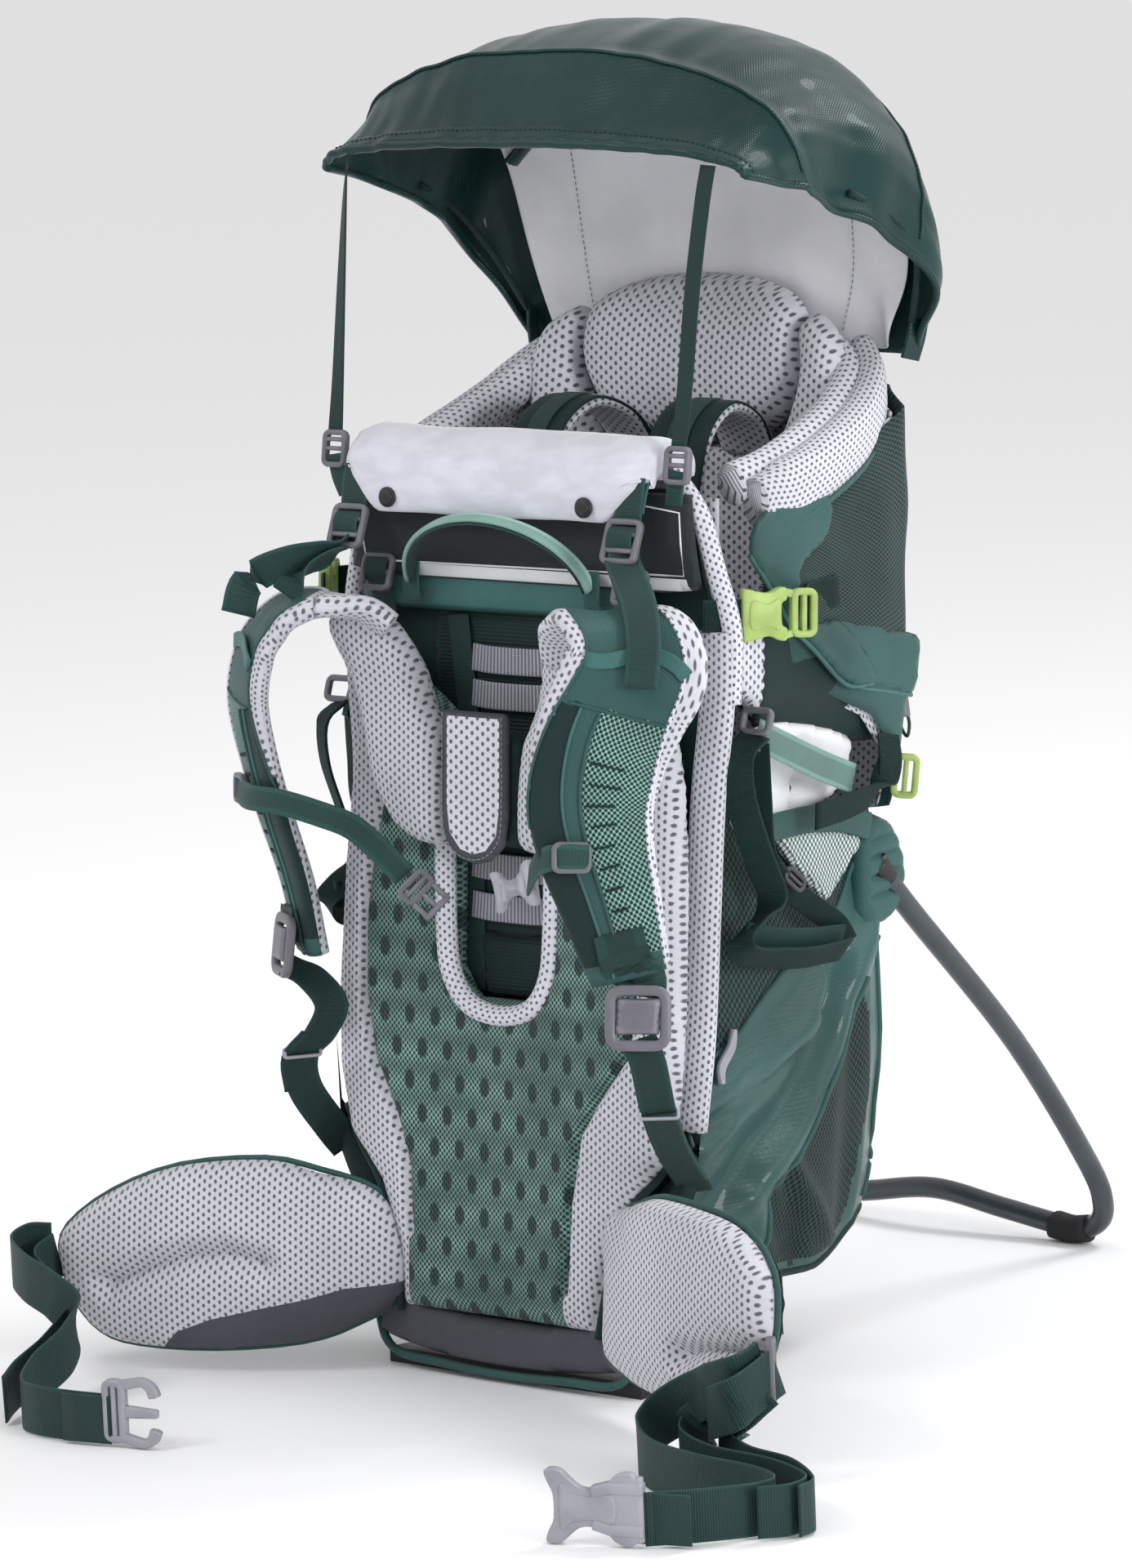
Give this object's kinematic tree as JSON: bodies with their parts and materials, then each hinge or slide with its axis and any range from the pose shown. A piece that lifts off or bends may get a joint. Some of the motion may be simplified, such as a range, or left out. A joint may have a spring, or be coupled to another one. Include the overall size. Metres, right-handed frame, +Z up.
{
  "type": "child carrier backpack",
  "caption": "Framed backpack for carrying a small child: padded harness and hip belt, seat with padded rim, sun roof, storage bag and fold-out kickstand.",
  "frame": {"origin": "middle of the underside of the base skid, on the floor the pack stands on", "axes": "+Z up, +X towards the picture's right, +Y from the wearer's back towards the kickstand"},
  "size_m": [0.8035, 0.9596, 1.0555],
  "materials": {
    "alloy": "brushed",
    "painted_tube": "satin dark grey paint",
    "black_plastic": "moulded black",
    "grey_plastic": "moulded grey",
    "silver_plastic": "moulded silver grey",
    "lime_plastic": "moulded lime",
    "foot_rubber": "matt",
    "dark_fabric": "dark teal ripstop nylon",
    "green_fabric": "mid green nylon",
    "roof_fabric": "shiny coated dark teal nylon",
    "mint_webbing": "padded mint webbing",
    "mesh_fabric": "light grey perforated spacer mesh over foam",
    "plush_fabric": "light grey brushed plush",
    "strap_fabric": "dark green webbing"
  },
  "bodies": {
    "pack": {"top_bar": "alloy", "base_bar": "alloy", "back_stay_left": "alloy", "back_stay_right": "alloy", "side_strut_left": "alloy", "side_strut_right": "alloy", "base_skid": "black_plastic", "kickstand_hub_left": "black_plastic", "kickstand_hub_right": "black_plastic", "back_plate": "dark_fabric", "back_mesh": "mesh_fabric", "harness_ladder": "strap_fabric", "cockpit_wall": "green_fabric", "head_pad": "mesh_fabric", "lower_bag": "green_fabric", "side_panel_left": "dark_fabric", "rim_pad_left": "mesh_fabric", "child_strap_left": "dark_fabric", "stirrup_ring_left": "silver_plastic", "side_buckle_female_left": "lime_plastic", "side_panel_right": "dark_fabric", "rim_pad_right": "mesh_fabric", "child_strap_right": "dark_fabric", "stirrup_ring_right": "silver_plastic", "side_buckle_female_right": "lime_plastic"},
    "kickstand": {"kickstand_tube": "painted_tube", "foot_pad_left": "foot_rubber", "foot_pad_right": "foot_rubber", "pivot_pin_left": "alloy", "pivot_pin_right": "alloy"},
    "canopy": {"canopy_roof": "roof_fabric", "canopy_front_bow": "alloy", "canopy_rear_bow": "alloy", "canopy_clip_left": "grey_plastic", "canopy_clip_right": "grey_plastic"},
    "harness": {"yoke_pad": "mesh_fabric", "adjuster_tongue": "mesh_fabric", "shoulder_strap_left": "green_fabric", "shoulder_strap_right": "green_fabric"},
    "handle": {"grab_handle": "mint_webbing"},
    "chin_pad": {"chin_pad": "plush_fabric"},
    "seat": {"seat_pad": "mesh_fabric"},
    "hip_wing_left": {"hip_wing_left": "mesh_fabric", "hip_strap_left": "strap_fabric", "hip_buckle_left": "silver_plastic"},
    "sternum_left": {"sternum_slider_left": "grey_plastic", "sternum_buckle_left": "silver_plastic"},
    "strap_buckle_left": {"strap_buckle_left": "grey_plastic"},
    "ladder_lock_left": {"ladder_lock_left": "grey_plastic"},
    "stirrup_left": {"stirrup_left": "strap_fabric"},
    "side_release_left": {"side_buckle_male_left": "lime_plastic"},
    "hip_wing_right": {"hip_wing_right": "mesh_fabric", "hip_strap_right": "strap_fabric", "hip_buckle_right": "silver_plastic"},
    "sternum_right": {"sternum_slider_right": "grey_plastic", "sternum_buckle_right": "silver_plastic"},
    "strap_buckle_right": {"strap_buckle_right": "grey_plastic"},
    "ladder_lock_right": {"ladder_lock_right": "grey_plastic"},
    "stirrup_right": {"stirrup_right": "strap_fabric"},
    "side_release_right": {"side_buckle_male_right": "lime_plastic"}
  },
  "joints": [
    {"name": "kickstand_fold", "type": "hinge", "parent": "pack", "child": "kickstand", "pos_m": [0, 0.27175, 0.37395], "axis": [-1, 0, 0], "range_deg": [0, 36]},
    {"name": "canopy_fold", "type": "hinge", "parent": "pack", "child": "canopy", "pos_m": [0, 0.32714, 0.77908], "axis": [-1, 0, 0], "range_deg": [0, 75]},
    {"name": "back_length", "type": "slide", "parent": "pack", "child": "harness", "axis": [0, 0.0698, 0.9976], "range_m": [-0.06, 0.008]},
    {"name": "handle_swing", "type": "hinge", "parent": "pack", "child": "handle", "pos_m": [0, 0.01973, 0.62615], "axis": [1, 0, 0], "range_deg": [0, 80]},
    {"name": "chin_flap_lift", "type": "hinge", "parent": "pack", "child": "chin_pad", "pos_m": [0, 0.06072, 0.70348], "axis": [-1, 0, 0], "range_deg": [0, 45]},
    {"name": "seat_height", "type": "slide", "parent": "pack", "child": "seat", "axis": [0, 0.0698, 0.9976], "range_m": [0, 0.06]},
    {"name": "hip_wing_swing_left", "type": "hinge", "parent": "pack", "child": "hip_wing_left", "pos_m": [-0.118, -0.02764, 0.09215], "axis": [0, 0, 1], "range_deg": [-20, 40]},
    {"name": "sternum_height_left", "type": "slide", "parent": "harness", "child": "sternum_left", "axis": [-0.1999, -0.072, 0.9772], "range_m": [-0.03, 0.03]},
    {"name": "strap_buckle_tilt_left", "type": "hinge", "parent": "harness", "child": "strap_buckle_left", "pos_m": [-0.172, -0.05327, 0.3636], "axis": [-0.8, 0.5985, -0.0419], "range_deg": [0, 35]},
    {"name": "ladder_lock_tilt_left", "type": "hinge", "parent": "pack", "child": "ladder_lock_left", "pos_m": [-0.134, 0.00568, 0.68327], "axis": [-1, 0, 0], "range_deg": [0, 35]},
    {"name": "stirrup_swing_left", "type": "hinge", "parent": "pack", "child": "stirrup_left", "pos_m": [-0.205, 0.06676, 0.52462], "axis": [1, 0, 0], "range_deg": [-20, 20]},
    {"name": "side_release_left", "type": "slide", "parent": "pack", "child": "side_release_left", "axis": [-0.5218, 0.8522, -0.0395], "range_m": [0, 0.03]},
    {"name": "hip_wing_swing_right", "type": "hinge", "parent": "pack", "child": "hip_wing_right", "pos_m": [0.118, -0.02764, 0.09215], "axis": [0, 0, -1], "range_deg": [-20, 40]},
    {"name": "sternum_height_right", "type": "slide", "parent": "harness", "child": "sternum_right", "axis": [-0.1, 0.0694, 0.9926], "range_m": [-0.03, 0.03]},
    {"name": "strap_buckle_tilt_right", "type": "hinge", "parent": "harness", "child": "strap_buckle_right", "pos_m": [0.2035, -0.09057, 0.34616], "axis": [-0.8, -0.5985, 0.0419], "range_deg": [0, 35]},
    {"name": "ladder_lock_tilt_right", "type": "hinge", "parent": "pack", "child": "ladder_lock_right", "pos_m": [0.134, 0.00568, 0.68327], "axis": [-1, 0, 0], "range_deg": [0, 35]},
    {"name": "stirrup_swing_right", "type": "hinge", "parent": "pack", "child": "stirrup_right", "pos_m": [0.205, 0.06676, 0.52462], "axis": [1, 0, 0], "range_deg": [-20, 20]},
    {"name": "side_release_right", "type": "slide", "parent": "pack", "child": "side_release_right", "axis": [0.5218, 0.8522, -0.0395], "range_m": [0, 0.03]}
  ]
}
